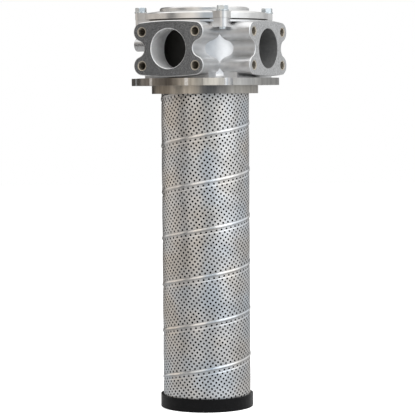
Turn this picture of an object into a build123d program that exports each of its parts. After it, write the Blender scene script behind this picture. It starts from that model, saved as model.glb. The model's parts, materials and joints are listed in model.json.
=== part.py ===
"""Tank top return filter: flanged head with two four-bolt ports, bolted cover and a long element.

The origin is the centre of the mounting flange's underside, which sits on the tank.
Z points up out of the tank, port A faces -Y and port B faces +X. Sizes are in millimetres.
"""
from build123d import *
import math
import os

# Port faces
port_bore_d = 50.8
port_face_r = 94.0
port_axis_z = 46.7
port_bolt_w = 77.8
port_bolt_h = 42.9
port_tap_d = 10.2
port_tap_depth = 22.0
port_lobe_r = 12.0
port_waist_w = 71.0
port_height = 71.0
port_edge_break = 0.8
port_bore_break = 0.5
port_tap_break = 1.3
port_tap_break_depth = 0.5

# Head casting
body_r = 71.5
chamber_wall = 5.5
seam_z = 84.9
rim_r = 83.0
rim_t = 4.4
rim_step = 1.8
rim_step_w = 4.0
foot_w = 94.0
foot_reach = 73.5
base_fillet_r = 6.0
spigot_r = 69.5
spigot_h = 10.5
ledge_z = 5.0

# Mounting flange
plate_r = 97.5
plate_t = 9.5
ear_flat_r = 91.3
slot_w = 11.5
slot_span_x = 132.0
slot_span_y = 116.0
tank_groove_r = 75.5

# Sealing rings
ring_cord_d = 3.5
groove_w = 4.4
groove_depth = 3.0

# Cover and its bolts
cover_flange_t = 8.6
cover_crown = 3.0
cover_boss_r = 58.3
cover_boss_h = 4.5
cover_spigot_t = 6.0
cover_spigot_h = 5.0
cover_recess = 2.0
cover_edge_r = 1.5
lug_bolt_r = 85.3
lug_end_r = 7.3
lug_flank_angle = 38.0
lug_inset = 0.5
head_lug_h = 11.4
bolt_d = 8.0
bolt_length = 25.0
bolt_head_af = 13.0
bolt_head_h = 5.3
bolt_tip_break = 0.8
washer_d = 16.0
washer_t = 1.6
washer_hole_d = 8.4
lug_hole_d = 9.0
lug_pad_h = 0.2
spot_face_gap = 0.5

# Gauge port
gauge_boss_r = 8.6
gauge_boss_reach = 103.0
gauge_z = 54.5
gauge_hole_d = 8.6
gauge_plug_length = 8.0
gauge_plug_sunk = 0.5
gauge_socket_af = 5.0

# Element
tube_r = 57.15
tube_wall = 1.0
seam_pitch = 60.7
seam_w = 4.6
seam_h = 0.85
seam_lower_edge = 0.3
seam_upper_edge = 1.2
seam_start_z = -63.0
seam_start_deg = -60.5
gap_d = 7.0
gaps_a_turn = 9
core_r = 32.0
core_wall = 1.0
core_gap_d = 8.0
core_gap_rows = 16
core_gaps_a_row = 6
pleat_count = 60
pleat_t = 0.6
cap_r = 60.8
cap_bottom_z = -421.5
cap_rim_h = 17.2
cap_floor_t = 4.0
cap_edge_r = 1.5
top_cap_t = 4.5
top_cap_flange_t = 4.0
top_cap_skirt_h = 9.0
cap_groove_w = 3.8
locating_ring_t = 2.0
locating_ring_h = 9.0

# Bypass valve in the bottom cap
valve_bore_d = 28.0
valve_pocket_r = 21.0
valve_wall = 3.0
valve_seat_depth = 13.5
valve_plate_t = 3.0
poppet_r = 17.0
poppet_t = 3.0
poppet_seal_w = 3.0
poppet_seal_t = 1.5
poppet_rim_t = 0.5
stem_d = 5.0
guide_h = 18.0
guide_flange_r = 9.5
guide_flange_t = 3.0
guide_leg_t = 3.0
guide_legs = 3
spring_r = 7.5
spring_wire_d = 1.8
spring_length = 27.0
spring_turns = 6
retainer_r = 9.5
retainer_t = 2.0
nut_af = 8.0
nut_t = 4.0

# Lifting bail
bail_r = 40.0
bail_wire_d = 4.0
bail_pin_length = 6.0
bail_ear_t = 4.0
bail_ear_r = 4.5

# Clearances
slide_gap = 0.3
thread_gap = 0.05
pin_gap = 0.05
cap_pass_gap = 0.8
seat_gap = 0.05

# Values that follow
chamber_r = body_r - chamber_wall
element_bore_r = cap_r + cap_pass_gap
tube_pocket_r = tube_r + seam_h + slide_gap
core_pocket_r = core_r - core_wall - slide_gap / 2
cap_floor_z = cap_bottom_z + cap_floor_t
skirt_r = element_bore_r - slide_gap
flange_seat_z = ledge_z
top_cap_z0 = flange_seat_z - top_cap_t
top_cap_z1 = flange_seat_z + top_cap_flange_t
cover_z0 = seam_z
cover_z1 = seam_z + cover_flange_t
cover_boss_z0 = cover_z1 + cover_crown
cover_boss_z1 = cover_boss_z0 + cover_boss_h
cover_groove_r = (chamber_r + rim_r - rim_step_w) / 2
washer_z = cover_z1 + lug_pad_h
bolt_seat_z = washer_z + washer_t
seat_z = cap_bottom_z + valve_seat_depth
guide_top_z = seat_z + valve_plate_t + guide_h
seal_r = poppet_r - poppet_rim_t
retainer_z = guide_top_z + spring_length
bail_axis_z = top_cap_z1 + bail_wire_d / 2 + slide_gap
slot_angle = math.degrees(math.atan2(slot_span_y, slot_span_x))
slot_angles = [slot_angle, 180 - slot_angle, 180 + slot_angle, -slot_angle]
lug_angles = [-45, 45, 135, -135]
on_base = (Align.CENTER, Align.CENTER, Align.MIN)


def disc(radius, z0, z1):
    """A round block between two heights."""
    return Pos(0, 0, z0) * Cylinder(radius, z1 - z0, align=on_base)


def ring(r_in, r_out, z0, z1):
    """A round ring between two heights."""
    return disc(r_out, z0, z1) - disc(r_in, z0 - 1, z1 + 1)


def turned(points):
    """A solid turned about Z from an outline of (radius, height) points."""
    outline = Plane.XZ * Polyline([*points, points[0]])
    return revolve(make_face(outline), Axis.Z)


def lying(radius, length):
    """A round bar from the origin along -X."""
    return Rot(0, -90, 0) * disc(radius, 0, length)


def cord_ring(radius, z):
    """A round sealing ring lying flat, its section pressed to just fill the groove."""
    section_r = min(ring_cord_d, groove_depth - 2 * seat_gap) / 2
    return Pos(0, 0, z) * Torus(radius, section_r)


def hexagon(across_flats, z0, z1):
    """A hexagonal bar between two heights."""
    flat = RegularPolygon(across_flats / 2, 6, major_radius=False)
    return Pos(0, 0, z0) * extrude(flat, z1 - z0)


def port_outline():
    """Outline of a port block: four lobes round the screw holes, waisted at the sides."""
    hole_u, hole_v = port_bolt_w / 2, port_bolt_h / 2
    rise = port_height / 2 - hole_v
    arch_r = (hole_u**2 + rise**2 - port_lobe_r**2) / (2 * (rise - port_lobe_r))
    arch = Vector(hole_u, hole_v - port_height / 2 + arch_r).normalized() * port_lobe_r
    waist_half = port_waist_w / 2
    waist_r = ((hole_u - waist_half) ** 2 + hole_v**2 - port_lobe_r**2)
    waist_r /= 2 * (port_lobe_r + hole_u - waist_half)
    waist = Vector(waist_half + waist_r - hole_u, -hole_v).normalized() * port_lobe_r
    lobe = Vector(hole_u, hole_v)
    top, side = lobe + arch, lobe + waist
    middle = lobe + (arch + waist).normalized() * port_lobe_r

    def at(point, sign_u, sign_v):
        return (point.X * sign_u, point.Y * sign_v)

    edges = [
        ThreePointArc(at(top, -1, 1), (0, port_height / 2), at(top, 1, 1)),
        ThreePointArc(at(top, 1, 1), at(middle, 1, 1), at(side, 1, 1)),
        ThreePointArc(at(side, 1, 1), (waist_half, 0), at(side, 1, -1)),
        ThreePointArc(at(side, 1, -1), at(middle, 1, -1), at(top, 1, -1)),
        ThreePointArc(at(top, 1, -1), (0, -port_height / 2), at(top, -1, -1)),
        ThreePointArc(at(top, -1, -1), at(middle, -1, -1), at(side, -1, -1)),
        ThreePointArc(at(side, -1, -1), (-waist_half, 0), at(side, -1, 1)),
        ThreePointArc(at(side, -1, 1), at(middle, -1, 1), at(top, -1, 1)),
    ]
    return make_face(Wire(edges))


def port_frame(turn, outward=True):
    """Plane on a port face, its normal pointing out of the port or into it."""
    across = Vector(1, 0, 0).rotate(Axis.Z, turn)
    out = Vector(0, -1, 0).rotate(Axis.Z, turn)
    centre = out * port_face_r + Vector(0, 0, port_axis_z)
    return Plane(origin=centre, x_dir=across, z_dir=out if outward else -out)


def port_block(turn):
    """One port's boss, from its machined face back into the body."""
    depth = port_face_r - body_r / 3
    block = extrude(port_frame(turn) * port_outline(), -depth)
    out = port_frame(turn).z_dir
    face = block.faces().sort_by(Axis((0, 0, port_axis_z), out))[-1]
    block = chamfer(face.edges(), port_edge_break)
    foot_top = port_axis_z - port_bolt_h / 2
    foot = Box(foot_w, foot_reach, foot_top, align=(Align.CENTER, Align.MAX, Align.MIN))
    return block + Rot(0, 0, turn) * foot


def port_cuts(turn):
    """Flow bore and four tapped holes of one port, with their edge breaks."""
    inward = port_frame(turn, outward=False)
    bore_r, tap_r = port_bore_d / 2, port_tap_d / 2
    cuts = inward * Cylinder(bore_r, port_face_r, align=on_base)
    cuts += inward * Cone(bore_r + port_bore_break, bore_r, port_bore_break, align=on_base)
    for hole in GridLocations(port_bolt_w, port_bolt_h, 2, 2):
        tap = Cylinder(tap_r, port_tap_depth, align=on_base)
        tap += Cone(tap_r + port_tap_break, tap_r, port_tap_break_depth, align=on_base)
        cuts += inward * hole * tap
    return cuts


def lug_pads(z0, z1, inset=0.0):
    """The four bolt lugs between two heights, each a round nose with flanks that spread inward."""
    nose_r = lug_end_r - inset
    lean = math.radians(lug_flank_angle)
    nose_x, nose_y = nose_r * math.sin(lean), nose_r * math.cos(lean)
    root_x = cover_groove_r - lug_bolt_r
    root_y = nose_y + (nose_x - root_x) * math.tan(lean)
    outline = Wire([
        ThreePointArc((nose_x, nose_y), (nose_r, 0), (nose_x, -nose_y)),
        Line((nose_x, -nose_y), (root_x, -root_y)),
        Line((root_x, -root_y), (root_x, root_y)),
        Line((root_x, root_y), (nose_x, nose_y)),
    ])
    bar = extrude(make_face(outline), z1 - z0)
    return [Rot(0, 0, turn) * Pos(lug_bolt_r, 0, z0) * bar for turn in lug_angles]


def mounting_plate():
    """Round flange with four flats and an open slot in the middle of each."""
    plate = disc(plate_r, 0, plate_t)
    slot_centre_r = math.hypot(slot_span_x, slot_span_y) / 2
    outward = (Align.MIN, Align.CENTER, Align.MIN)
    for turn in slot_angles:
        outside = Pos(ear_flat_r, 0, -1) * Box(plate_r, 2 * plate_r, plate_t + 2, align=outward)
        slot = Pos(slot_centre_r, 0, -1) * Box(plate_r, slot_w, plate_t + 2, align=outward)
        slot += Pos(slot_centre_r, 0, 0) * disc(slot_w / 2, -1, plate_t + 1)
        plate -= Rot(0, 0, turn) * (outside + slot)
    return plate


def filter_head():
    """The head casting, machined at its ports, seams and seats."""
    flare_r = body_r + base_fillet_r
    flare_z = plate_t + base_fillet_r
    head = disc(body_r, 0, seam_z) + disc(rim_r, seam_z - rim_t, seam_z - rim_step)
    head += disc(rim_r - rim_step_w, seam_z - rim_t, seam_z)
    head += disc(flare_r, 0, flare_z) - Pos(0, 0, flare_z) * Torus(flare_r, base_fillet_r)
    head += mounting_plate()
    head += disc(spigot_r, -spigot_h, 1)
    head += port_block(0) + port_block(90)
    for lug in lug_pads(seam_z - head_lug_h, seam_z, lug_inset):
        head += lug
    head += Pos(0, 0, gauge_z) * lying(gauge_boss_r, gauge_boss_reach)
    head -= disc(chamber_r, ledge_z, seam_z + 1)
    head -= disc(element_bore_r, -spigot_h - 1, ledge_z + 1)
    head -= port_cuts(0) + port_cuts(90)
    head -= Pos(0, 0, gauge_z) * lying(gauge_hole_d / 2, gauge_boss_reach + 1)
    bolt_hole = disc(bolt_d / 2 + thread_gap, plate_t + 1, seam_z + 1)
    for turn in lug_angles:
        head -= Rot(0, 0, turn) * Pos(lug_bolt_r, 0, 0) * bolt_hole
    half = groove_w / 2
    head -= ring(cover_groove_r - half, cover_groove_r + half, seam_z - groove_depth, seam_z + 1)
    head -= ring(tank_groove_r - half, tank_groove_r + half, -1, groove_depth)
    return head


def cover():
    """The cast cover: a locating ring below, a crowned flange and a round boss on top."""
    r_edge = rim_r
    r_ring = chamber_r - slide_gap
    edge = cover_edge_r
    body = turned([
        (0, cover_z0 + cover_recess), (r_ring - cover_spigot_t, cover_z0 + cover_recess),
        (r_ring - cover_spigot_t, cover_z0 - cover_spigot_h), (r_ring, cover_z0 - cover_spigot_h),
        (r_ring, cover_z0), (r_edge, cover_z0),
        (r_edge, cover_z1 - edge), (r_edge - edge, cover_z1),
        (cover_boss_r, cover_boss_z0), (cover_boss_r, cover_boss_z1 - edge),
        (cover_boss_r - edge, cover_boss_z1), (0, cover_boss_z1),
    ])
    for lug in lug_pads(cover_z0, washer_z):
        body += lug
    hole = disc(lug_hole_d / 2, cover_z0 - 1, washer_z + 1)
    hole += disc(washer_d / 2 + spot_face_gap, washer_z, cover_boss_z0)
    for turn in lug_angles:
        body -= Rot(0, 0, turn) * Pos(lug_bolt_r, 0, 0) * hole
    return body


def cover_bolt(turn):
    """One hexagon bolt, its tip showing below the head's lug."""
    shank = disc(bolt_d / 2, bolt_seat_z - bolt_length, bolt_seat_z)
    tip = chamfer(shank.edges().sort_by(Axis.Z)[0], bolt_tip_break)
    head = hexagon(bolt_head_af, bolt_seat_z, bolt_seat_z + bolt_head_h)
    top_r = bolt_head_af / 2
    crown = Cone(top_r + bolt_head_h, top_r, bolt_head_h, align=on_base)
    head &= Pos(0, 0, bolt_seat_z) * crown
    return Rot(0, 0, turn) * Pos(lug_bolt_r, 0, 0) * (tip + head)


def cover_washer(turn):
    """One plain washer under a cover bolt."""
    washer = ring(washer_hole_d / 2, washer_d / 2, washer_z, bolt_seat_z)
    return Rot(0, 0, turn) * Pos(lug_bolt_r, 0, 0) * washer


def gauge_plug():
    """Socket plug screwed in level with the gauge boss."""
    inner_end = gauge_boss_reach - gauge_plug_length
    plug = disc(gauge_hole_d / 2 - thread_gap, inner_end, gauge_boss_reach - gauge_plug_sunk)
    plug -= hexagon(gauge_socket_af, gauge_boss_reach - gauge_plug_length / 2, gauge_boss_reach)
    return Pos(0, 0, gauge_z) * Rot(0, -90, 0) * plug


def element_top_cap():
    """Moulded top cap: flange on the head's ledge, seal groove, skirt and two bail ears."""
    flange_r = chamber_r - 2 * slide_gap
    skirt_z = top_cap_z0 - top_cap_skirt_h
    inner_r = core_pocket_r - locating_ring_t
    cap = disc(flange_r, flange_seat_z, top_cap_z1) + disc(skirt_r, skirt_z, flange_seat_z)
    cap -= disc(inner_r, skirt_z - 1, top_cap_z1 + 1)
    cap -= ring(core_pocket_r, tube_pocket_r, skirt_z - 1, top_cap_z0)
    groove_z = flange_seat_z - top_cap_t / 2
    half = cap_groove_w / 2
    cap -= ring(skirt_r - groove_depth, skirt_r + 1, groove_z - half, groove_z + half)
    ear_y = bail_r + slide_gap + bail_ear_t / 2 + bail_wire_d / 2
    ear = Box(2 * bail_ear_r, bail_ear_t, bail_axis_z - top_cap_z1, align=on_base)
    ear = Pos(0, 0, top_cap_z1 - bail_axis_z) * ear
    ear += Rot(90, 0, 0) * Cylinder(bail_ear_r, bail_ear_t)
    ear -= Rot(90, 0, 0) * Cylinder(bail_wire_d / 2 + pin_gap, bail_ear_t + 2)
    ear = Pos(0, 0, bail_axis_z) * ear - disc(chamber_r, flange_seat_z, top_cap_z1)
    for side in (1, -1):
        cap += Pos(0, side * ear_y, 0) * ear
    return cap


def element_o_ring():
    """Sealing ring round the top cap, in the head's lower bore."""
    groove_z = flange_seat_z - top_cap_t / 2
    section_r = groove_depth / 2 - seat_gap
    return Pos(0, 0, groove_z) * Torus(skirt_r - section_r - seat_gap, section_r)


def bail_handle():
    """Half-round wire handle folded down on the top cap, with its ends turned out into the ears."""
    half_ring = ThreePointArc((0, bail_r, 0), (bail_r, 0, 0), (0, -bail_r, 0))
    wire_r = bail_wire_d / 2
    section = Plane(origin=(0, bail_r, 0), z_dir=(1, 0, 0)) * Circle(wire_r)
    handle = sweep(section, path=half_ring)
    for side in (1, -1):
        handle += Pos(0, side * bail_r, 0) * Sphere(wire_r)
        pin = Rot(-90 * side, 0, 0) * Cylinder(wire_r, bail_pin_length, align=on_base)
        handle += Pos(0, side * bail_r, 0) * pin
    return Pos(0, 0, bail_axis_z) * handle


def perforated_tube():
    """Spiral-seamed outer tube; rows of coarse gaps follow the seam, between its turns."""
    z0, z1 = cap_floor_z, top_cap_z0
    turns_below = math.ceil((seam_start_z - z0) / seam_pitch) + 1
    turns_above = math.ceil((z1 - seam_start_z) / seam_pitch) + 1
    height = (turns_below + turns_above) * seam_pitch
    low = seam_start_z - turns_below * seam_pitch
    helix = Helix(seam_pitch, height, tube_r)
    half = seam_w / 2
    bite = tube_wall / 2
    lower, upper = seam_lower_edge - half, half - seam_upper_edge
    profile = Polyline((-bite, -half), (seam_h, lower), (seam_h, upper), (-bite, half), (-bite, -half))
    section = Plane(origin=(tube_r, 0, 0), x_dir=(1, 0, 0), z_dir=(0, -1, 0)) * make_face(profile)
    rib = sweep(section, path=helix, is_frenet=True)
    rib = Rot(0, 0, seam_start_deg) * Pos(0, 0, low) * rib
    rib &= ring(tube_r - tube_wall, tube_r + seam_h + 1, z0, z1)
    return ring(tube_r - tube_wall, tube_r, z0, z1) + rib


def tube_gaps():
    """Radial cutters for the tube's gaps, in two rows between turns of the seam."""
    cutters = []
    gap = Pos(tube_r - tube_wall / 2, 0, 0) * Rot(0, 90, 0) * Cylinder(gap_d / 2, 4 * tube_wall)
    z0, z1 = cap_bottom_z + cap_rim_h + gap_d, top_cap_z0 - top_cap_skirt_h - gap_d
    first = math.floor((z0 - seam_start_z) / seam_pitch) * gaps_a_turn - gaps_a_turn
    last = math.ceil((z1 - seam_start_z) / seam_pitch) * gaps_a_turn
    for row in (1, 2):
        for step in range(first, last):
            turn = (step + (row - 1) / 2) / gaps_a_turn
            z = seam_start_z + (turn + row / 3) * seam_pitch
            if z0 < z < z1:
                cutters.append(Pos(0, 0, z) * Rot(0, 0, seam_start_deg + 360 * turn) * gap)
    return cutters


def core_tube():
    """Inner support tube with rows of round gaps."""
    z0, z1 = cap_floor_z, top_cap_z0
    tube = ring(core_r - core_wall, core_r, z0, z1)
    gap = Rot(0, 90, 0) * Cylinder(core_gap_d / 2, 4 * core_wall)
    gap = Pos(core_r - core_wall / 2, 0, 0) * gap
    pitch = (z1 - z0 - 4 * locating_ring_h) / (core_gap_rows - 1)
    for row in range(core_gap_rows):
        z = z0 + 2 * locating_ring_h + row * pitch
        for k in range(core_gaps_a_row):
            turn = (k + (row % 2) / 2) * 360 / core_gaps_a_row
            tube -= Pos(0, 0, z) * Rot(0, 0, turn) * gap
    return tube


def pleated_media():
    """Pleated pack between the two tubes, bonded into both caps."""
    tip_r = tube_r - tube_wall - slide_gap
    root_r = core_r + slide_gap
    half_step = math.pi / pleat_count
    lean = math.atan2((tip_r + root_r) / 2 * half_step, tip_r - root_r)
    shift = pleat_t / math.sin(lean)
    root_r += shift
    outer, inner = [], []
    for k in range(2 * pleat_count):
        radius = tip_r if k % 2 == 0 else root_r
        across = Vector(math.cos(k * half_step), math.sin(k * half_step))
        outer.append(across * radius)
        inner.append(across * (radius - shift))
    faces = [make_face(Polyline([*loop, loop[0]])) for loop in (outer, inner)]
    return Pos(0, 0, cap_floor_z) * extrude(faces[0] - faces[1], top_cap_z0 - cap_floor_z)


def bottom_cap():
    """Moulded bottom cap: rim round the tube, ring inside the core and the pocket of the bypass valve."""
    rim_top = cap_bottom_z + cap_rim_h
    pocket_out = valve_pocket_r + valve_wall
    cap = disc(cap_r, cap_bottom_z, rim_top)
    outer_edge = cap.edges().filter_by(GeomType.CIRCLE).sort_by(Axis.Z)
    cap = fillet([outer_edge[0]], cap_edge_r)
    cap -= disc(tube_pocket_r, cap_floor_z, rim_top + 1)
    ring_top = cap_floor_z + locating_ring_h
    cap += ring(core_pocket_r - locating_ring_t, core_pocket_r, cap_floor_z - 1, ring_top)
    cap += disc(pocket_out, cap_floor_z - 1, seat_z + valve_plate_t)
    cap -= disc(valve_pocket_r, cap_bottom_z - 1, seat_z)
    cap -= disc(valve_bore_d / 2, seat_z - 1, seat_z + valve_plate_t + 1)
    leg_z = seat_z + valve_plate_t
    leg_out = (valve_bore_d / 2 + pocket_out) / 2
    legs = Box(leg_out, guide_leg_t, guide_h, align=(Align.MIN, Align.CENTER, Align.MIN))
    open_middle = Cone(valve_bore_d / 2, stem_d / 2, guide_h - guide_flange_t, align=on_base)
    spider = Rot(0, 0, 90) * legs
    for k in range(1, guide_legs):
        spider += Rot(0, 0, 90 + k * 360 / guide_legs) * legs
    spider -= open_middle
    spider = Pos(0, 0, leg_z) * spider
    spider += disc(guide_flange_r, guide_top_z - guide_flange_t, guide_top_z)
    cap += spider
    return cap - disc(stem_d / 2 + pin_gap, leg_z, guide_top_z + 1)


def bypass_poppet():
    """Valve disc with its stem, closed against the seat from below."""
    poppet = disc(poppet_r, seat_z - poppet_t, seat_z)
    poppet -= ring(seal_r - poppet_seal_w, seal_r, seat_z - poppet_seal_t, seat_z + 1)
    poppet -= ring(valve_bore_d / 2 - 1, poppet_r + 1, seat_z - seat_gap * 2, seat_z + 1)
    poppet += disc(stem_d / 2, seat_z - 1, retainer_z + retainer_t + nut_t + 1)
    return poppet


def poppet_seal():
    """Flat ring set in the valve disc."""
    return ring(seal_r - poppet_seal_w, seal_r, seat_z - poppet_seal_t, seat_z)


def bypass_spring():
    """Coil spring between the guide and the retainer."""
    wire_r = spring_wire_d / 2
    rise = spring_length - spring_wire_d
    helix = Helix(rise / spring_turns, rise, spring_r)
    section = Plane(origin=(spring_r, 0, 0), z_dir=(0, 1, 0)) * Circle(wire_r - seat_gap / 2)
    return Pos(0, 0, guide_top_z + wire_r) * sweep(section, path=helix, is_frenet=True)


def spring_retainer():
    """Washer that the spring pushes up."""
    return ring(stem_d / 2 + pin_gap, retainer_r, retainer_z, retainer_z + retainer_t)


def stem_nut():
    """Nut that holds the retainer on the stem."""
    z0 = retainer_z + retainer_t
    return hexagon(nut_af, z0, z0 + nut_t) - disc(stem_d / 2 + pin_gap, z0 - 1, z0 + nut_t + 1)


def build():
    """Every piece by its name."""
    parts = {
        "filter_head": filter_head(),
        "cover": cover(),
        "cover_o_ring": cord_ring(cover_groove_r, seam_z - groove_depth / 2),
        "tank_o_ring": cord_ring(tank_groove_r, groove_depth / 2),
        "gauge_plug": gauge_plug(),
        "element_top_cap": element_top_cap(),
        "element_o_ring": element_o_ring(),
        "bail_handle": bail_handle(),
        "perforated_tube": perforated_tube() - tube_gaps(),
        "pleated_media": pleated_media(),
        "core_tube": core_tube(),
        "bottom_cap": bottom_cap(),
        "bypass_poppet": bypass_poppet(),
        "poppet_seal": poppet_seal(),
        "bypass_spring": bypass_spring(),
        "spring_retainer": spring_retainer(),
        "stem_nut": stem_nut(),
    }
    for number, turn in enumerate(lug_angles, 1):
        parts[f"cover_bolt_{number}"] = cover_bolt(turn)
        parts[f"cover_washer_{number}"] = cover_washer(turn)
    return parts


os.makedirs("parts", exist_ok=True)
for name, shape in build().items():
    export_step(shape, f"parts/{name}.step")
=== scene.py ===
import json
import math

import bmesh
import bpy
from bpy.props import FloatProperty, FloatVectorProperty, PointerProperty
from mathutils import Matrix, Vector


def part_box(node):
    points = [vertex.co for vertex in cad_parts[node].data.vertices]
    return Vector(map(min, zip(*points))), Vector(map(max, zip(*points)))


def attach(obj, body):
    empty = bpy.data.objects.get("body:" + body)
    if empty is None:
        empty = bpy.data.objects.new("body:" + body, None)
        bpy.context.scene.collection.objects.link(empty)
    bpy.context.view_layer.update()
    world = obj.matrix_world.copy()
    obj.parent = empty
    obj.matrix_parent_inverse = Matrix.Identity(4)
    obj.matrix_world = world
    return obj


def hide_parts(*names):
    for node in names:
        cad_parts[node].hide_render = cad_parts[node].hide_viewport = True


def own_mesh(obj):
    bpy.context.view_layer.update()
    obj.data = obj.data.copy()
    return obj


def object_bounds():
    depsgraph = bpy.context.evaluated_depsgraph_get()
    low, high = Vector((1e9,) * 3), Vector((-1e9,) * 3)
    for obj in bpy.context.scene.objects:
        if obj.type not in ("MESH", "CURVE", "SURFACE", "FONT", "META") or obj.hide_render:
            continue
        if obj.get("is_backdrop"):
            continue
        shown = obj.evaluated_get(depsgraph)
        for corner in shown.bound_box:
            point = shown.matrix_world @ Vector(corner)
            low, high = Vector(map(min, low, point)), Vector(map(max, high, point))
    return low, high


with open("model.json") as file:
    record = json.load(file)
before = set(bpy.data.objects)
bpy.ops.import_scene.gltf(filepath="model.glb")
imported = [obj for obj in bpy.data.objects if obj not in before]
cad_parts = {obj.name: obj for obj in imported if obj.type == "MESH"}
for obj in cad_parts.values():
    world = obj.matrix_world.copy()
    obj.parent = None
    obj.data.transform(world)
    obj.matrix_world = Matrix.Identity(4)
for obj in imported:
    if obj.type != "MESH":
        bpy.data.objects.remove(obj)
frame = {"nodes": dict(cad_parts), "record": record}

bl_info = {
    "name": "Tank Top Filter",
    "version": (1, 0, 0),
    "blender": (4, 5, 0),
    "location": "View3D > Sidebar > Tank Filter",
    "description": "Builds the dressed tank top return filter and its studio stage",
    "category": "Object",
}

# The photograph's camera, in metres and degrees, round the centre of the flange's underside
CAMERA_DISTANCE = 2.4817
CAMERA_HEIGHT = -0.00934
CAMERA_AZIMUTH = 29.5
CAMERA_PITCH = 3.469
CAMERA_YAW = 0.049
CAMERA_ROLL = -0.42
CAMERA_LENS = 164.3
SENSOR_WIDTH = 36.0

# Spiral of the outer tube
TUBE_RADIUS = 0.05715
SPIRAL_PITCH = 0.0607
SPIRAL_START = -60.5
SPIRAL_START_Z = -0.063
CELLS_PER_TURN = 51
HOLE_ROWS = 16
ROW_STEP = 0.49
CREASE_WAVE = 0.0005
HOLE_SIDES = 8

# Material slots of the outer tube and of the head
SHEET, CUT_AND_SEAM_SHADOW, SEAM, PAINTED_HIGHLIGHT = range(4)
POLISHED, CAST, TAPPED, RAW, INNER_SHADE, LIT_BORE_A, SHADED_BORE_B, COLLAR = range(8)

# Where the head's ports, screw holes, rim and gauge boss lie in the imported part, in metres
PORT_FACE_R = 0.094
PORT_AXIS_Z = 0.0467
PORT_BORE_R = 0.0264
PORT_BORE_DEPTH = 0.036
SCREW_ACROSS, SCREW_UP = 0.0389, 0.02145
SCREW_HOLE_R = 0.0068
SCREW_WALL_DEPTH = 0.0225
SCREW_FLOOR_DEPTH, SCREW_FLOOR_R = (0.0215, 0.03), 0.0045
SEAM_FACE_Z = 0.0848
RIM_STEP_Z, RIM_STEP_R = 0.0832, 0.08
GAUGE_BOSS_X, GAUGE_BOSS_Z = -0.07, (0.03, 0.065)
CHAMBER_R, CHAMBER_LOW_Z = 0.0664, -0.01
FLANGE_TOP_Z = 0.0096
FLANGE_UNDER_Z = -0.004
SLOT_R = (0.075, 0.0905)

# Painted shade and highlight across the flange and the collar, from the camera's left to its right
FLANGE_PAINTED_LIGHT = (
    (0.08, (0.45, 0.45, 0.46)), (0.28, (0.4, 0.37, 0.34)), (0.38, (0.9, 0.88, 0.84)),
    (0.56, (1.1, 1.08, 1.03)), (0.7, (0.85, 0.87, 0.9)), (0.92, (0.7, 0.72, 0.75)),
)
COLLAR_PAINTED_LIGHT = (
    (0.14, (0.36, 0.33, 0.29)), (0.24, (0.5, 0.47, 0.43)), (0.3, (1.1, 1.06, 1.0)),
    (0.42, (1.05, 1.02, 0.97)), (0.49, (0.45, 0.45, 0.46)), (0.62, (0.45, 0.45, 0.46)),
    (0.7, (0.88, 0.88, 0.87)), (0.86, (0.9, 0.9, 0.89)),
)
# How fast the painted shade and highlight change across the flange and the collar
PAINTED_LIGHT_SPREAD = 5

# Reflection cards: azimuth and width in degrees, shade beside the tube and shade beside the head
CARDS = (
    (-127.0, 44.0, (0.07, 0.065, 0.06), (0.07, 0.065, 0.06)),
    (-76.0, 50.0, (1.0, 0.92, 0.84), (0.75, 0.7, 0.65)),
    (-44.5, 11.0, (0.78, 0.72, 0.66), (0.78, 0.72, 0.66)),
    (-29.5, 17.0, (0.05, 0.057, 0.066), (0.105, 0.112, 0.12)),
    (-14.0, 10.0, (0.92, 0.86, 0.8), (0.92, 0.86, 0.8)),
    (5.5, 27.0, (1.14, 1.07, 0.99), (1.14, 1.07, 0.99)),
    (38.0, 36.0, (0.47, 0.54, 0.61), (0.47, 0.54, 0.61)),
    (75.5, 37.0, (1.32, 1.36, 1.4), (1.32, 1.36, 1.4)),
    (106.0, 22.0, (1.1, 1.12, 1.14), (1.1, 1.12, 1.14)),
    (137.0, 36.0, (0.68, 0.69, 0.7), (0.8, 0.81, 0.82)),
    (176.0, 28.0, (0.5, 0.5, 0.5), (0.5, 0.5, 0.5)),
)
CARD_LOW, CARD_MIDDLE, CARD_HIGH = -0.41, -0.02, 1.2
CARD_DISTANCE = 1.3

# Lamps: name, azimuth, elevation, distance, size and power
LAMPS = (
    ("key", 75.0, 42.0, 2.4, 2.2, 50.0),
    ("fill", -60.0, 40.0, 2.4, 2.2, 8.0),
)
LAMP_AIM_Z = -0.15


# Sizes and colours

def colour(label, note, default):
    """A colour setting."""
    return FloatVectorProperty(
        name=label, description=note, subtype="COLOR", size=3, min=0.0, max=1.0, default=default)


def length(label, note, default):
    """A length setting in metres."""
    return FloatProperty(
        name=label, description=note, subtype="DISTANCE", unit="LENGTH", min=0.0, default=default,
        precision=5)


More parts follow.
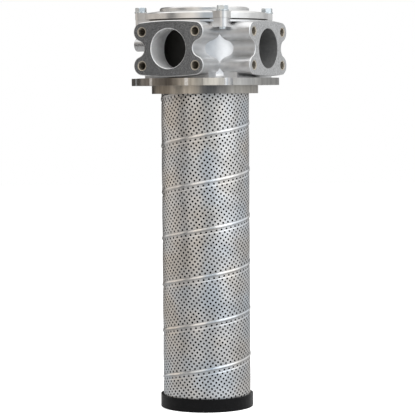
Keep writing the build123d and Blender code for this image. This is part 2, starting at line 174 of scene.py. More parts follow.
class FilterSettings(bpy.types.PropertyGroup):
    """Sizes and colours of the filter."""
    hole_diameter: length("Hole Diameter", "Size of the small holes in the outer tube", 0.0028)
    sheet: length("Sheet", "Thickness of the outer tube's sheet", 0.001)
    rib_width: length("Seam Width", "Width of the raised spiral seam", 0.0048)
    rib_height: length("Seam Height", "Height of the raised spiral seam", 0.00085)
    bulge: length("Sheet Bulge", "How far the sheet swells between two turns of the seam", 0.0003)
    casting_edge: length("Casting Edge", "Edge rounding of the head and the cover", 0.00045)
    moulded_edge: length("Moulded Edge", "Edge rounding of the moulded caps", 0.0006)
    small_edge: length("Small Edge", "Edge rounding of bolts, washers and plugs", 0.00025)
    aluminium: colour("Cast Aluminium", "Colour of the casting", (0.66, 0.66, 0.66))
    cover: colour("Cover", "Colour of the cover", (0.65, 0.645, 0.635))
    raw: colour("Raw Casting", "Colour of the flange and collar", (0.4, 0.38, 0.35))
    machined: colour("Machined Aluminium", "Colour of the machined faces", (0.5, 0.5, 0.5))
    tapped: colour("Tapped Hole", "Colour of the tapped holes' walls", (0.52, 0.47, 0.39))
    zinc: colour("Zinc Plating", "Colour of the bolts and washers", (0.55, 0.59, 0.61))
    galvanised: colour("Galvanised Sheet", "Colour of the outer tube", (0.57, 0.57, 0.57))
    spring: colour("Spring Steel", "Colour of the spring", (0.42, 0.42, 0.43))
    nylon: colour("Black Nylon", "Colour of the moulded caps", (0.004, 0.004, 0.0045))
    rubber: colour("Rubber", "Colour of the sealing rings", (0.018, 0.018, 0.018))
    # The mat's near-black colour is painted shade for the mat seen deep inside the tube's holes
    media: colour("Filter Mat", "Colour of the pleated mat", (0.025, 0.023, 0.02))
    floor: colour("Floor", "Colour of the floor and the background", (1.0, 1.0, 1.0))


# Materials

def material(name, base, metallic=0.0, rough=0.5):
    """A material and its shader and node tree."""
    made = bpy.data.materials.new(name)
    made.use_nodes = True
    tree = made.node_tree
    shader = tree.nodes["Principled BSDF"]
    shader.inputs["Base Color"].default_value = (*base, 1.0)
    shader.inputs["Metallic"].default_value = metallic
    shader.inputs["Roughness"].default_value = rough
    return made, tree, shader


def place(tree):
    """Object coordinates."""
    return tree.nodes.new("ShaderNodeTexCoord").outputs["Object"]


def stretched(tree, scale):
    """Object coordinates scaled along each axis."""
    mapping = tree.nodes.new("ShaderNodeMapping")
    mapping.inputs["Scale"].default_value = scale
    tree.links.new(place(tree), mapping.inputs["Vector"])
    return mapping.outputs["Vector"]


def noise(tree, vector, scale, detail=3.0, rough=0.5):
    """A noise value."""
    node = tree.nodes.new("ShaderNodeTexNoise")
    node.inputs["Scale"].default_value = scale
    node.inputs["Detail"].default_value = detail
    node.inputs["Roughness"].default_value = rough
    tree.links.new(vector, node.inputs["Vector"])
    return node.outputs["Fac"]


def ramp(tree, value, stops):
    """A colour ramp of (position, colour) stops over a value."""
    node = tree.nodes.new("ShaderNodeValToRGB")
    points = node.color_ramp.elements
    while len(points) < len(stops):
        points.new(0.5)
    for point, (at, shade) in zip(points, stops):
        point.position = at
        point.color = (*shade, 1.0)
    tree.links.new(value, node.inputs["Fac"])
    return node.outputs["Color"]


def spread(tree, value, low, high):
    """A value from 0 to 1 spread between two levels."""
    node = tree.nodes.new("ShaderNodeMapRange")
    node.inputs["From Min"].default_value = 0.3
    node.inputs["From Max"].default_value = 0.7
    node.inputs["To Min"].default_value = low
    node.inputs["To Max"].default_value = high
    tree.links.new(value, node.inputs["Value"])
    return node.outputs["Result"]


def multiplied(tree, first, second):
    """One colour times another."""
    node = tree.nodes.new("ShaderNodeMix")
    node.data_type = "RGBA"
    node.blend_type = "MULTIPLY"
    node.inputs["Factor"].default_value = 1.0
    tree.links.new(first, node.inputs["A"])
    tree.links.new(second, node.inputs["B"])
    return node.outputs["Result"]


def bump(tree, shader, height, strength, distance):
    """Relief on a shader, over any relief that it has."""
    node = tree.nodes.new("ShaderNodeBump")
    node.inputs["Strength"].default_value = strength
    node.inputs["Distance"].default_value = distance
    tree.links.new(height, node.inputs["Height"])
    before = shader.inputs["Normal"].links
    if before:
        tree.links.new(before[0].from_socket, node.inputs["Normal"])
    tree.links.new(node.outputs["Normal"], shader.inputs["Normal"])


def scaled(shade, factor):
    """A colour made lighter or darker."""
    return tuple(min(c * factor, 1.0) for c in shade)


def cast_metal(name, base, rough):
    """Sand-cast aluminium: fine grain, soft waves and a slightly uneven tone."""
    made, tree, shader = material(name, base, 1.0, rough)
    where = place(tree)
    patches = noise(tree, where, 60.0, 4.0)
    tone = ramp(tree, patches, [(0.3, scaled(base, 0.86)), (0.7, scaled(base, 1.08))])
    tree.links.new(tone, shader.inputs["Base Color"])
    tree.links.new(spread(tree, noise(tree, where, 25.0), rough - 0.06, rough + 0.08),
                   shader.inputs["Roughness"])
    bump(tree, shader, noise(tree, where, 900.0, 2.0), 0.35, 0.0002)
    bump(tree, shader, noise(tree, where, 45.0, 2.0), 0.25, 0.0012)
    return made


def machined_metal(name, base, rough):
    """Machined aluminium: faint tool marks and a clean tone."""
    made, tree, shader = material(name, base, 1.0, rough)
    marks = noise(tree, stretched(tree, (1.0, 1.0, 12.0)), 260.0, 2.0)
    tone = ramp(tree, noise(tree, place(tree), 420.0, 4.0),
                [(0.3, scaled(base, 0.8)), (0.7, scaled(base, 1.15))])
    tree.links.new(tone, shader.inputs["Base Color"])
    bump(tree, shader, marks, 0.15, 0.0001)
    return made


def bored_metal(name, base, rough):
    """The bored wall of a port: matt, with rings left by the tool."""
    made, tree, shader = material(name, base, 0.75, rough)
    tone = ramp(tree, noise(tree, place(tree), 300.0, 3.0),
                [(0.3, scaled(base, 0.95)), (0.7, scaled(base, 1.15))])
    tree.links.new(tone, shader.inputs["Base Color"])
    return made


def raw_metal(name, base, rough, light_stops):
    """Raw casting with upright streaks from the mould, and painted shade and highlight across it
    from the camera's left to its right.
    """
    made, tree, shader = material(name, base, 1.0, rough)
    streaks = noise(tree, stretched(tree, (1.0, 1.0, 0.12)), 170.0, 4.0, 0.6)
    tone = ramp(tree, streaks, [(0.3, scaled(base, 0.72)), (0.7, scaled(base, 1.25))])
    # Painted light: the tone follows the camera's left-to-right direction, darker where the
    # casting lies in shade and above 1 where it catches a highlight
    across = tree.nodes.new("ShaderNodeVectorMath")
    across.operation = "DOT_PRODUCT"
    across.inputs[1].default_value = (
        PAINTED_LIGHT_SPREAD * math.cos(math.radians(CAMERA_AZIMUTH)),
        PAINTED_LIGHT_SPREAD * math.sin(math.radians(CAMERA_AZIMUTH)), 0.0)
    tree.links.new(place(tree), across.inputs[0])
    middle = tree.nodes.new("ShaderNodeMath")
    middle.inputs[1].default_value = 0.5
    tree.links.new(across.outputs["Value"], middle.inputs[0])
    painted_light_tone = ramp(tree, middle.outputs[0], light_stops)
    tree.links.new(multiplied(tree, tone, painted_light_tone), shader.inputs["Base Color"])
    bump(tree, shader, streaks, 0.3, 0.0005)
    bump(tree, shader, noise(tree, place(tree), 700.0, 2.0), 0.3, 0.0002)
    return made


def sheet_metal(name, base, rough):
    """Galvanised sheet: spangle in the tone, soft dents and a satin finish."""
    made, tree, shader = material(name, base, 1.0, rough)
    where = place(tree)
    cells = tree.nodes.new("ShaderNodeTexVoronoi")
    cells.inputs["Scale"].default_value = 150.0
    tree.links.new(where, cells.inputs["Vector"])
    tone = ramp(tree, cells.outputs["Color"],
                [(0.0, scaled(base, 0.9)), (1.0, scaled(base, 1.08))])
    tint = ramp(tree, noise(tree, where, 16.0, 2.0),
                [(0.38, (0.96, 0.92, 0.87)), (0.5, (1.0, 1.0, 1.0)), (0.62, (0.95, 1.0, 1.05))])
    tree.links.new(multiplied(tree, tone, tint), shader.inputs["Base Color"])
    tree.links.new(spread(tree, noise(tree, where, 40.0), rough - 0.05, rough + 0.08),
                   shader.inputs["Roughness"])
    bump(tree, shader, noise(tree, where, 24.0, 2.0), 0.5, 0.006)
    return made


def moulded(name, base, rough):
    """Moulded plastic or rubber: a very fine grain."""
    made, tree, shader = material(name, base, 0.0, rough)
    shader.inputs["Specular IOR Level"].default_value = 0.1
    where = place(tree)
    tree.links.new(spread(tree, noise(tree, where, 70.0), rough - 0.05, rough + 0.08),
                   shader.inputs["Roughness"])
    bump(tree, shader, noise(tree, where, 1200.0, 2.0), 0.15, 0.0002)
    return made


def plated(name, base, rough):
    """Plated steel: a faint cloud in tone and gloss."""
    made, tree, shader = material(name, base, 1.0, rough)
    where = place(tree)
    tone = ramp(tree, noise(tree, where, 220.0),
                [(0.3, scaled(base, 0.85)), (0.7, scaled(base, 1.1))])
    tree.links.new(tone, shader.inputs["Base Color"])
    tree.links.new(spread(tree, noise(tree, where, 300.0), rough - 0.05, rough + 0.1),
                   shader.inputs["Roughness"])
    return made


def mat_material(name, base):
    """The pleated mat: fibres and uneven soiling."""
    made, tree, shader = material(name, base, 0.0, 0.9)
    tone = ramp(tree, noise(tree, place(tree), 240.0, 4.0),
                [(0.3, scaled(base, 0.5)), (0.7, scaled(base, 1.5))])
    tree.links.new(tone, shader.inputs["Base Color"])
    return made


def tapped_metal(name, base):
    """The brownish wall of a tapped hole, with painted shade in bands where the thread's grooves
    would lie.
    """
    made, tree, shader = material(name, base, 0.6, 0.45)
    wave = tree.nodes.new("ShaderNodeTexWave")
    wave.inputs["Scale"].default_value = 180.0
    tree.links.new(place(tree), wave.inputs["Vector"])
    # Painted shade: wave bands darken the wall to 0.4 of its colour in place of the thread's
    # grooves
    tone = ramp(tree, wave.outputs["Fac"], [(0.0, scaled(base, 0.4)), (1.0, base)])
    tree.links.new(tone, shader.inputs["Base Color"])
    return made


# Meshes

def finish_piece(name, bm, body, materials, nodes, sharp=32.0):
    """Turns a bmesh into a piece of the filter that stands for CAD nodes."""
    mesh = bpy.data.meshes.new(name)
    bmesh.ops.recalc_face_normals(bm, faces=bm.faces)
    bm.to_mesh(mesh)
    bm.free()
    mesh.shade_smooth()
    mesh.set_sharp_from_angle(angle=math.radians(sharp))
    for each in materials:
        mesh.materials.append(each)
    made = bpy.data.objects.new(name, mesh)
    bpy.context.scene.collection.objects.link(made)
    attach(made, body)
    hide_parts(*nodes)
    return made


def copy_of(node):
    """A welded copy of a CAD node's mesh, its flat faces whole again."""
    bm = bmesh.new()
    bm.from_mesh(frame["nodes"][node].data)
    bmesh.ops.remove_doubles(bm, verts=bm.verts, dist=1e-6)
    bmesh.ops.dissolve_limit(
        bm, angle_limit=math.radians(0.1), use_dissolve_boundaries=False,
        verts=bm.verts, edges=bm.edges)
    for face in bm.faces:
        face.material_index = 0
    return bm


def round_edges(made, width, segments=2):
    """Rounds a piece's corners, and keeps its flat faces flat."""
    bevel = made.modifiers.new("Round edges", "BEVEL")
    bevel.width = width
    bevel.segments = segments
    bevel.limit_method = "ANGLE"
    bevel.angle_limit = math.radians(32)
    bevel.use_clamp_overlap = True
    even = made.modifiers.new("Even normals", "WEIGHTED_NORMAL")
    even.keep_sharp = True


def body_of_node(node):
    """The body that a CAD node belongs to."""
    bodies = frame["record"]["behaviour"]["bodies"]
    return next(name for name, nodes in bodies.items() if node in nodes)


def rounded_copy(name, node, materials, width, choose=None):
    """A piece with a CAD node's shape and rounded edges."""
    bm = copy_of(node)
    if choose:
        for face in bm.faces:
            face.material_index = choose(face)
    made = finish_piece(name, bm, body_of_node(node), materials, [node])
    round_edges(made, width)
    return made


# The outer tube

def strip_point(across_angle, u, v, out):
    """The place of a point of the flat strip once it is wound round the tube."""
    x = u * math.cos(across_angle) - v * math.sin(across_angle)
    z = u * math.sin(across_angle) + v * math.cos(across_angle)
    turn = math.radians(SPIRAL_START) + x / TUBE_RADIUS
    radius = TUBE_RADIUS + out
    return Vector((radius * math.cos(turn), radius * math.sin(turn), SPIRAL_START_Z + z))


def grid_strip(bm, width, levels, finishes):
    """A flat strip two faces wide through (across, out, wave) levels, each step in its finish."""
    steps = len(levels) - 1
    verts = bmesh.ops.create_grid(bm, x_segments=2, y_segments=steps, size=0.5)["verts"]
    for face in {face for vert in verts for face in vert.link_faces}:
        face.material_index = finishes[int((face.calc_center_median().y + 0.5) * steps)]
    for vert in verts:
        level = levels[round((vert.co.y + 0.5) * steps)]
        side = round(2 * vert.co.x)
        wave = level[2] * (1 if side == 0 else -1)
        vert.co = Vector(((vert.co.x + 0.5) * width, level[0] + wave, level[1]))


def hole_cell(bm, width, height, radius, depth):
    """One flat cell with a round hole and the hole's wall."""
    cell = bmesh.ops.create_grid(bm, x_segments=2, y_segments=2, size=0.5)["verts"]
    middle = min(cell, key=lambda vert: vert.co.length)
    cell = [vert for vert in cell if vert != middle]
    bmesh.ops.delete(bm, geom=[middle], context="VERTS")
    bmesh.ops.scale(bm, vec=(width, height, 1.0), verts=cell)
    hole = bmesh.ops.create_circle(bm, segments=HOLE_SIDES, radius=radius)["verts"]
    rims = list({edge for vert in cell + hole for edge in vert.link_edges})
    bmesh.ops.bridge_loops(bm, edges=rims)
    rim = [edge for edge in bm.edges if all(vert in hole for vert in edge.verts)]
    wall = bmesh.ops.extrude_edge_only(bm, edges=rim)["geom"]
    verts = [item for item in wall if isinstance(item, bmesh.types.BMVert)]
    for face in [item for item in wall if isinstance(item, bmesh.types.BMFace)]:
        face.material_index = CUT_AND_SEAM_SHADOW
    bmesh.ops.translate(bm, vec=(0.0, 0.0, -depth), verts=verts)
    bmesh.ops.translate(bm, vec=(width / 2, height / 2, 0.0), verts=bm.verts)


def tube_column(settings):
    """One step of the wound strip: a brick of holes in each row, the crease and the seam."""
    angle = math.atan(SPIRAL_PITCH / (2 * math.pi * TUBE_RADIUS))
    strip = SPIRAL_PITCH * math.cos(angle)
    cell_w = 2 * math.pi * TUBE_RADIUS * math.cos(angle) / CELLS_PER_TURN
    cell_h = cell_w * ROW_STEP
    half, rise = settings.rib_width / 2, settings.rib_height
    crease_width = strip - 2 * half - HOLE_ROWS * cell_h
    lift = -rise * 0.45
    bm = bmesh.new()
    for row in range(HOLE_ROWS):
        last = row == HOLE_ROWS - 1
        low = half + row * cell_h + (crease_width if last else 0.0)
        one = bmesh.new()
        hole_cell(one, cell_w, cell_h, settings.hole_diameter / 2, settings.sheet)
        for vert in one.verts:
            wave = 0.0
            if last and vert.co.y < 1e-6:
                wave = CREASE_WAVE if abs(vert.co.x - cell_w / 2) < 1e-6 else -CREASE_WAVE
            if row == HOLE_ROWS - 2 and vert.co.y > cell_h - 1e-6:
                wave = CREASE_WAVE if abs(vert.co.x - cell_w / 2) > 1e-6 else -CREASE_WAVE
            vert.co.z += lift if last else 0.0
            vert.co.x += (row % 2) * cell_w / 2
            vert.co.y += low + wave
        scratch = bpy.data.meshes.new("scratch")
        one.to_mesh(scratch)
        one.free()
        bm.from_mesh(scratch)
        bpy.data.meshes.remove(scratch)
    crease = half + (HOLE_ROWS - 1) * cell_h
    shift = cell_w / 2 if (HOLE_ROWS - 1) % 2 else 0.0
    before = set(bm.verts)
    # The crease row takes the bright sheet finish: a painted highlight along the crease
    grid_strip(
        bm, cell_w, [(crease, 0.0, CREASE_WAVE), (crease + crease_width, lift, CREASE_WAVE)],
        [PAINTED_HIGHLIGHT])
    for vert in set(bm.verts) - before:
        vert.co.x += shift
    # The seam's top slope takes the bright finish, a painted highlight; its last steep drop takes
    # the dark cut finish, a painted shadow in the lock seam's gap
    seam = [
        (strip - half, lift, 0.0),
        (strip - half * 0.88, rise * 0.75, 0.0),
        (strip - half * 0.35, rise * 0.97, 0.0),
        (strip - half * 0.15, rise * 0.95, 0.0),
        (strip + half * 0.84, rise * 0.4, 0.0),
        (strip + half, 0.0, 0.0),
    ]
    grid_strip(bm, cell_w, seam, [SEAM, SEAM, SEAM, PAINTED_HIGHLIGHT, CUT_AND_SEAM_SHADOW])
    for vert in bm.verts:
        swell = math.sin(math.pi * min(max(vert.co.y / strip, 0.0), 1.0)) ** 2
        if vert.co.y > half - 1e-6 and vert.co.y < crease + 1e-6:
            vert.co.z += settings.bulge * swell
    return bm, angle, cell_w


def wound_tube(settings):
    """The whole wound strip, trimmed level at both ends."""
    low, high = (corner.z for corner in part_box("perforated_tube"))
    bm, angle, cell_w = tube_column(settings)
    rise = cell_w * math.sin(angle)
    strip = SPIRAL_PITCH
    first = math.floor((low - SPIRAL_START_Z - 1.1 * strip) / rise)
    last = math.ceil((high - SPIRAL_START_Z) / rise)
    for vert in bm.verts:
        vert.co = strip_point(angle, first * cell_w + vert.co.x, vert.co.y, vert.co.z)
    steps = last - first
    turn = cell_w * math.cos(angle) / TUBE_RADIUS
    bmesh.ops.spin(
        bm, geom=bm.verts[:] + bm.edges[:] + bm.faces[:], cent=(0, 0, 0), axis=(0, 0, 1),
        dvec=(0, 0, rise), angle=turn * steps, steps=steps, use_duplicate=True)
    bmesh.ops.remove_doubles(bm, verts=bm.verts, dist=3e-5)
    for height, side in ((low, -1), (high, 1)):
        everything = bm.verts[:] + bm.edges[:] + bm.faces[:]
        bmesh.ops.bisect_plane(
            bm, geom=everything, plane_co=(0, 0, height), plane_no=(0, 0, side), clear_outer=True)
    return bm


# Operators

def settings_of(context):
    """The filter's settings."""
    return context.scene.tank_filter


class FILTER_OT_tube(bpy.types.Operator):
    """Winds the perforated outer tube with its raised spiral seam"""
    bl_idname = "tank_filter.tube"
    bl_label = "Outer Tube"

    def execute(self, context):
        settings = settings_of(context)
        steel = sheet_metal("galvanised_sheet", settings.galvanised, 0.4)
        # Dark finish of the holes' cut walls, also used as a painted shadow in the seam's gap
        cut_and_seam_shadow = plated("punched_edge_and_seam_shadow", scaled(settings.galvanised, 0.12), 0.6)
        seam = sheet_metal("rolled_seam", scaled(settings.galvanised, 0.75), 0.32)
        # A lighter, glossier copy of the sheet: painted highlight on the crease and on the seam's
        # top slope
        bright = sheet_metal("highlight_sheet", scaled(settings.galvanised, 1.3), 0.3)
        finish_piece("outer_tube", wound_tube(settings), "housing", [steel, cut_and_seam_shadow, seam, bright],
                     ["perforated_tube"])
        return {"FINISHED"}


class FILTER_OT_head(bpy.types.Operator):
    """Builds the head casting with its machined port faces and tapped holes"""
    bl_idname = "tank_filter.head"
    bl_label = "Head"

    def execute(self, context):
        settings = settings_of(context)

        def choose(face):
            centre, normal = face.calc_center_median(), face.normal
            # Port A's bore takes the painted-light finish, port B's bore the painted-shade finish
            for out, side, bore in ((Vector((0, -1, 0)), Vector((1, 0, 0)), LIT_BORE_A),
                                    (Vector((1, 0, 0)), Vector((0, 1, 0)), SHADED_BORE_B)):
                depth = PORT_FACE_R - centre.dot(out)
                across, up = centre.dot(side), centre.z - PORT_AXIS_Z
                hole = math.hypot(abs(across) - SCREW_ACROSS, abs(up) - SCREW_UP)
                in_wall = 0.00005 < depth < SCREW_WALL_DEPTH and hole < SCREW_HOLE_R
                if in_wall and normal.dot(out) < 0.99:
                    return TAPPED
                # Painted shade: the floors of the screw holes take the nearly black inner finish
                if SCREW_FLOOR_DEPTH[0] < depth < SCREW_FLOOR_DEPTH[1] and hole < SCREW_FLOOR_R:
                    return INNER_SHADE
                if abs(depth) < 0.0002 and normal.dot(out) > 0.9:
                    return POLISHED
                if 0.0 < depth < PORT_BORE_DEPTH and math.hypot(across, up) < PORT_BORE_R:
                    return bore
            upright = abs(normal.z) < 0.5
            if centre.z > SEAM_FACE_Z:
                return POLISHED
            # Painted shadow line: the upright riser inside the rim's step, under the cover
            if RIM_STEP_Z < centre.z and upright and centre.xy.length < RIM_STEP_R:
                return INNER_SHADE
            if centre.x < GAUGE_BOSS_X and GAUGE_BOSS_Z[0] < centre.z < GAUGE_BOSS_Z[1]:
                return POLISHED
            widest = max(vert.co.xy.length for vert in face.verts)
            # Painted shade on the chamber's inner wall
            if widest < CHAMBER_R and centre.z > CHAMBER_LOW_Z:
                return INNER_SHADE
            if centre.z > FLANGE_TOP_Z or normal.z > 0.5:
                return CAST
            if centre.z > FLANGE_UNDER_Z and normal.z < -0.5:
                return POLISHED
            if centre.z < -0.0001:
                return COLLAR
            in_slot = upright and SLOT_R[0] < centre.xy.length < SLOT_R[1]
            return CAST if in_slot else RAW

        materials = [
            machined_metal("machined_aluminium", settings.machined, 0.22),
            cast_metal("cast_aluminium", settings.aluminium, 0.34),
            tapped_metal("tapped_aluminium", settings.tapped),
            # Painted shade and highlight across the flange, from the camera's left to its right
            raw_metal("raw_flange", settings.raw, 0.36, FLANGE_PAINTED_LIGHT),
            # Nearly black casting: painted shade in the chamber, on the rim's riser and on the
            # screw holes' floors
            cast_metal("inner_shade_casting", scaled(settings.raw, 0.25), 0.5),
            # Lit and shaded copies of the bored finish: port A's bore painted lighter, port B's
            # bore painted darker, for the light falling into each
            bored_metal("lit_bore_aluminium", scaled(settings.machined, 1.9), 0.5),
            bored_metal("shaded_bore_aluminium", scaled(settings.machined, 0.5), 0.5),
            # Painted shade and highlight across the collar, from the camera's left to its right
            raw_metal("raw_collar", settings.raw, 0.36, COLLAR_PAINTED_LIGHT),
        ]
        rounded_copy("head", "filter_head", materials, settings.casting_edge, choose)
        return {"FINISHED"}


class FILTER_OT_cover(bpy.types.Operator):
    """Builds the cast cover"""
    bl_idname = "tank_filter.cover"
    bl_label = "Cover"

    def execute(self, context):
        settings = settings_of(context)
        finish = cast_metal("cover_aluminium", settings.cover, 0.32)
        # Painted shadow: the cover's downward faces take a dark finish, the shadow line at the
        # seam under the cover
        shaded = cast_metal("cover_underside_shade", scaled(settings.raw, 0.25), 0.5)
        rounded_copy("cover_plate", "cover", [finish, shaded], settings.casting_edge,
                     lambda face: int(face.normal.z < -0.5))
        return {"FINISHED"}


class FILTER_OT_fasteners(bpy.types.Operator):
    """Builds the cover's bolts and washers and the gauge plug"""
    bl_idname = "tank_filter.fasteners"
    bl_label = "Fasteners"

    def execute(self, context):
        settings = settings_of(context)
        zinc = plated("zinc_plating", settings.zinc, 0.24)
        for number in range(1, 5):
            rounded_copy(f"bolt_{number}", f"cover_bolt_{number}", [zinc], settings.small_edge)
            rounded_copy(f"washer_{number}", f"cover_washer_{number}", [zinc], settings.small_edge)
        rounded_copy("plug", "gauge_plug", [zinc], settings.small_edge)
        return {"FINISHED"}


class FILTER_OT_caps(bpy.types.Operator):
    """Builds the moulded caps of the element and the valve disc"""
    bl_idname = "tank_filter.caps"
    bl_label = "Caps"

    def execute(self, context):
        settings = settings_of(context)
        nylon = moulded("black_nylon", settings.nylon, 0.38)
        for name, node in (("lower_cap", "bottom_cap"), ("upper_cap", "element_top_cap"),
                           ("valve_disc", "bypass_poppet")):
            rounded_copy(name, node, [nylon], settings.moulded_edge)
        return {"FINISHED"}


class FILTER_OT_inside(bpy.types.Operator):
    """Gives the pieces inside their finishes"""
    bl_idname = "tank_filter.inside"
    bl_label = "Inside"

    def execute(self, context):
        settings = settings_of(context)
        rubber = moulded("seal_rubber", settings.rubber, 0.5)
        zinc = plated("zinc_inside", settings.zinc, 0.3)
        finishes = {
            "cover_o_ring": rubber, "tank_o_ring": rubber, "element_o_ring": rubber,
            "poppet_seal": rubber, "bail_handle": zinc, "spring_retainer": zinc, "stem_nut": zinc,
            "core_tube": sheet_metal("core_sheet", settings.galvanised, 0.35),
            # The mat's near-black colour is painted shade
            "pleated_media": mat_material("filter_mat", settings.media),
        }
        for node, finish in finishes.items():
            frame["nodes"][node].data.materials.clear()
            frame["nodes"][node].data.materials.append(finish)
        spring = finish_piece("valve_spring", copy_of("bypass_spring"), "housing",
                              [plated("spring_steel", settings.spring, 0.35)], ["bypass_spring"])
        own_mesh(spring)
        return {"FINISHED"}


# Stage

def background(tint):
    """White to the camera and in reflections, and a plain level of light elsewhere."""
    world = bpy.data.worlds.new("Studio")
    world.use_nodes = True
    tree = world.node_tree
    shader = tree.nodes["Background"]
    shader.inputs["Color"].default_value = (*tint, 1.0)
    paths = tree.nodes.new("ShaderNodeLightPath")
    seen = paths.outputs["Is Camera Ray"]
    for ray in ("Is Glossy Ray", "Is Transmission Ray"):
        both = tree.nodes.new("ShaderNodeMath")
        both.operation = "MAXIMUM"
        tree.links.new(seen, both.inputs[0])
        tree.links.new(paths.outputs[ray], both.inputs[1])
        seen = both.outputs[0]
    level = tree.nodes.new("ShaderNodeMapRange")
    level.inputs["To Min"].default_value = 0.55
    level.inputs["To Max"].default_value = 1.0
    tree.links.new(seen, level.inputs["Value"])
    tree.links.new(level.outputs["Result"], shader.inputs["Strength"])
    bpy.context.scene.world = world


def floor_piece(tint):
    """A pale round floor under the filter that keeps its shadow."""
    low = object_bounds()[0].z
    bm = bmesh.new()
    bmesh.ops.create_circle(bm, cap_ends=True, segments=96, radius=6.0)
    mesh = bpy.data.meshes.new("floor")
    bm.to_mesh(mesh)
    bm.free()
    made = bpy.data.objects.new("floor", mesh)
    made.location.z = low - 0.0001
    bpy.context.scene.collection.objects.link(made)
    made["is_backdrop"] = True
    paint, tree, shader = material("floor", tint, 0.0, 1.0)
    shader.inputs["Specular IOR Level"].default_value = 0.0
    paths = tree.nodes.new("ShaderNodeLightPath")
    glow = tree.nodes.new("ShaderNodeMath")
    glow.operation = "MULTIPLY"
    glow.inputs[1].default_value = 0.7
    tree.links.new(paths.outputs["Is Camera Ray"], glow.inputs[0])
    tree.links.new(glow.outputs[0], shader.inputs["Emission Strength"])
    shader.inputs["Emission Color"].default_value = (*tint, 1.0)
    mesh.materials.append(paint)


def card(name, azimuth, width, low, high, shade):
    """A curved reflection card standing round the filter, seen in reflections only."""
    steps = max(int(width / 4), 2)
    bm = bmesh.new()
    edge = bmesh.ops.create_grid(bm, x_segments=1, y_segments=1, size=0.5)["verts"]
    bmesh.ops.delete(bm, geom=[vert for vert in edge if vert.co.x > 0], context="VERTS")
    for vert in bm.verts:
        vert.co = Vector((0.0, -CARD_DISTANCE, low if vert.co.y < 0 else high))
    start = Matrix.Rotation(math.radians(azimuth - width / 2), 3, "Z")
    bmesh.ops.transform(bm, matrix=start.to_4x4(), verts=bm.verts)
    bmesh.ops.spin(
        bm, geom=bm.verts[:] + bm.edges[:], cent=(0, 0, 0), axis=(0, 0, 1),
        angle=math.radians(width), steps=steps)
    mesh = bpy.data.meshes.new(name)
    bm.to_mesh(mesh)
    bm.free()
    made = bpy.data.objects.new(name, mesh)
    bpy.context.scene.collection.objects.link(made)
    reflection_only(made, shade)


def reflection_only(made, shade):
    """Makes a stage piece that only shows in reflections."""
    paint, tree, shader = material(made.name, (0.0, 0.0, 0.0), 0.0, 1.0)
    shader.inputs["Emission Color"].default_value = (*shade, 1.0)
    shader.inputs["Emission Strength"].default_value = 1.0
    shader.inputs["Specular IOR Level"].default_value = 0.0
    made.data.materials.append(paint)
    made.visible_camera = False
    made.visible_diffuse = False
    made.visible_shadow = False
    made.visible_transmission = False
    made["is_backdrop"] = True


def flat_card(name, height, inner, shade):
    """A flat ring at a height, seen in reflections only."""
    bm = bmesh.new()
    for radius in (inner, CARD_DISTANCE - 0.01):
        bmesh.ops.create_circle(bm, segments=64, radius=radius)
    bmesh.ops.bridge_loops(bm, edges=bm.edges)
    bmesh.ops.translate(bm, vec=(0, 0, height), verts=bm.verts)
    mesh = bpy.data.meshes.new(name)
    bm.to_mesh(mesh)
    bm.free()
    made = bpy.data.objects.new(name, mesh)
    bpy.context.scene.collection.objects.link(made)
    reflection_only(made, shade)


def lamp(name, azimuth, elevation, distance, size, power):
    """A soft square lamp aimed at the filter."""
    data = bpy.data.lights.new(name, "AREA")
    data.size = size
    data.energy = power
    made = bpy.data.objects.new(name, data)
    a, e = math.radians(azimuth), math.radians(elevation)
    back = Vector((math.sin(a) * math.cos(e), -math.cos(a) * math.cos(e), math.sin(e)))
    made.location = Vector((0, 0, LAMP_AIM_Z)) + back * distance
    made.rotation_mode = "QUATERNION"
    made.rotation_quaternion = (-back).to_track_quat("-Z", "Y")
    bpy.context.scene.collection.objects.link(made)


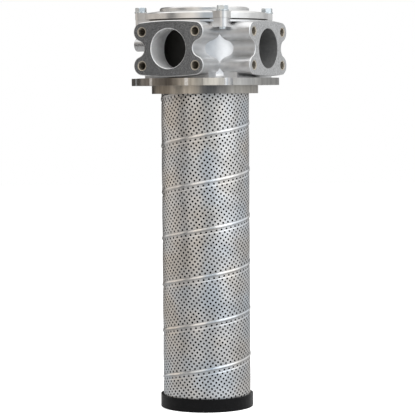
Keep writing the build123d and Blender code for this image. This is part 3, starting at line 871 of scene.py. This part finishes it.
def photo_camera():
    """The camera at the photograph's place."""
    azimuth, pitch = math.radians(CAMERA_AZIMUTH), math.radians(CAMERA_PITCH)
    yaw, roll = math.radians(CAMERA_YAW), math.radians(CAMERA_ROLL)
    look = Vector((
        math.sin(yaw) * math.cos(pitch), math.cos(yaw) * math.cos(pitch), -math.sin(pitch)))
    side = Vector((math.cos(yaw), -math.sin(yaw), 0.0))
    up = side.cross(look)
    right = math.cos(roll) * side + math.sin(roll) * up
    top = -math.sin(roll) * side + math.cos(roll) * up
    turn = Matrix.Rotation(azimuth, 3, "Z")
    axes = [turn @ right, turn @ top, turn @ -look]
    data = bpy.data.cameras.new("photo")
    data.sensor_width = SENSOR_WIDTH
    data.lens = CAMERA_LENS
    made = bpy.data.objects.new("photo", data)
    made.matrix_world = Matrix.Translation(
        turn @ Vector((0.0, -CAMERA_DISTANCE, CAMERA_HEIGHT))) @ Matrix(axes).transposed().to_4x4()
    bpy.context.scene.collection.objects.link(made)
    bpy.context.scene.camera = made


class FILTER_OT_stage(bpy.types.Operator):
    """Sets the pale floor, the soft lamps, the reflection cards and the camera"""
    bl_idname = "tank_filter.stage"
    bl_label = "Stage"

    def execute(self, context):
        settings = settings_of(context)
        background(settings.floor)
        floor_piece(settings.floor)
        for number, (azimuth, width, beside_tube, beside_head) in enumerate(CARDS, 1):
            card(f"tube_card_{number}", azimuth, width, CARD_LOW, CARD_MIDDLE, beside_tube)
            card(f"head_card_{number}", azimuth, width, CARD_MIDDLE, CARD_HIGH, beside_head)
        flat_card("card_low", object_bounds()[0].z + 0.004, 0.12, (0.65, 0.65, 0.65))
        flat_card("card_high", CARD_HIGH + 0.01, 0.01, (1.5, 1.5, 1.5))
        for row in LAMPS:
            lamp(*row)
        photo_camera()
        context.scene.view_settings.view_transform = "Standard"
        return {"FINISHED"}


OPERATORS = (FILTER_OT_tube, FILTER_OT_head, FILTER_OT_cover, FILTER_OT_fasteners,
             FILTER_OT_caps, FILTER_OT_inside, FILTER_OT_stage)


class FILTER_PT_panel(bpy.types.Panel):
    """Lists the steps that build the filter."""
    bl_idname = "FILTER_PT_panel"
    bl_label = "Tank Filter"
    bl_space_type = "VIEW_3D"
    bl_region_type = "UI"
    bl_category = "Tank Filter"

    def draw(self, context):
        settings = settings_of(context)
        for name in settings.__annotations__:
            self.layout.prop(settings, name)
        for each in OPERATORS:
            self.layout.operator(each.bl_idname)


CLASSES = (FilterSettings, *OPERATORS, FILTER_PT_panel)


def register():
    for each in CLASSES:
        bpy.utils.register_class(each)
    bpy.types.Scene.tank_filter = PointerProperty(type=FilterSettings)


def unregister():
    del bpy.types.Scene.tank_filter
    for each in reversed(CLASSES):
        bpy.utils.unregister_class(each)


def main():
    """Builds the filter and its stage."""
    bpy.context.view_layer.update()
    register()
    for each in OPERATORS:
        group, step = each.bl_idname.split(".")
        getattr(getattr(bpy.ops, group), step)()


if __name__ == "__main__":
    main()
